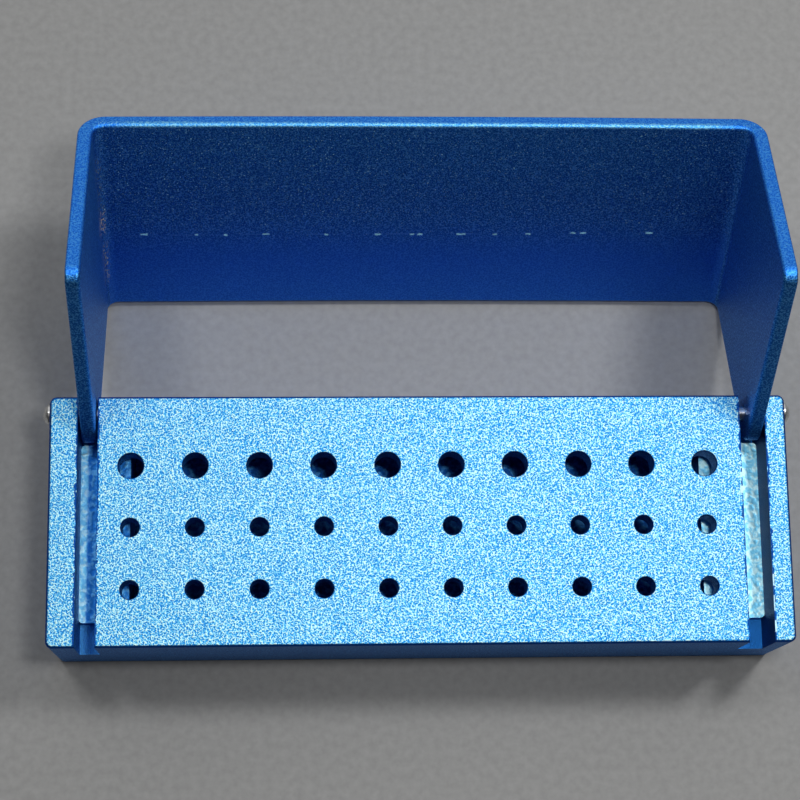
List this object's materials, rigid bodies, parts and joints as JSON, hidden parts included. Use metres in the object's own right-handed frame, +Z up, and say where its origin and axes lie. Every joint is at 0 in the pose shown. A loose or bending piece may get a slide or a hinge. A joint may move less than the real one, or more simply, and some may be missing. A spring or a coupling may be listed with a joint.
{
  "type": "dental bur block",
  "caption": "Rectangular holder for dental burs: a top drilled with rows of upright holes over a hollow base, and a folded plate lid that swings over it on two side arms.",
  "frame": {"origin": "centre of the block's underside", "axes": "+X along the block, from the wide left end wall to the narrow right one; +Y to the rear, where the open lid lies; +Z up, out of the holes"},
  "size_m": [0.0752, 0.0515, 0.0322],
  "materials": {
    "anodised_block": "bead-blasted and anodised blue",
    "anodised_tray": "milled and anodised blue",
    "anodised_lid": "bead-blasted and anodised blue",
    "steel": "turned"
  },
  "bodies": {
    "block": {"block_body": "anodised_block", "base_tray": "anodised_tray", "hinge_pin_left": "steel", "hinge_pin_right": "steel"},
    "cover": {"lid": "anodised_lid"}
  },
  "joints": [
    {"name": "lid_hinge", "type": "hinge", "parent": "block", "child": "cover", "pos_m": [0, 0.01093, 0.01195], "axis": [1, 0, 0], "range_deg": [0, 119.5]}
  ]
}
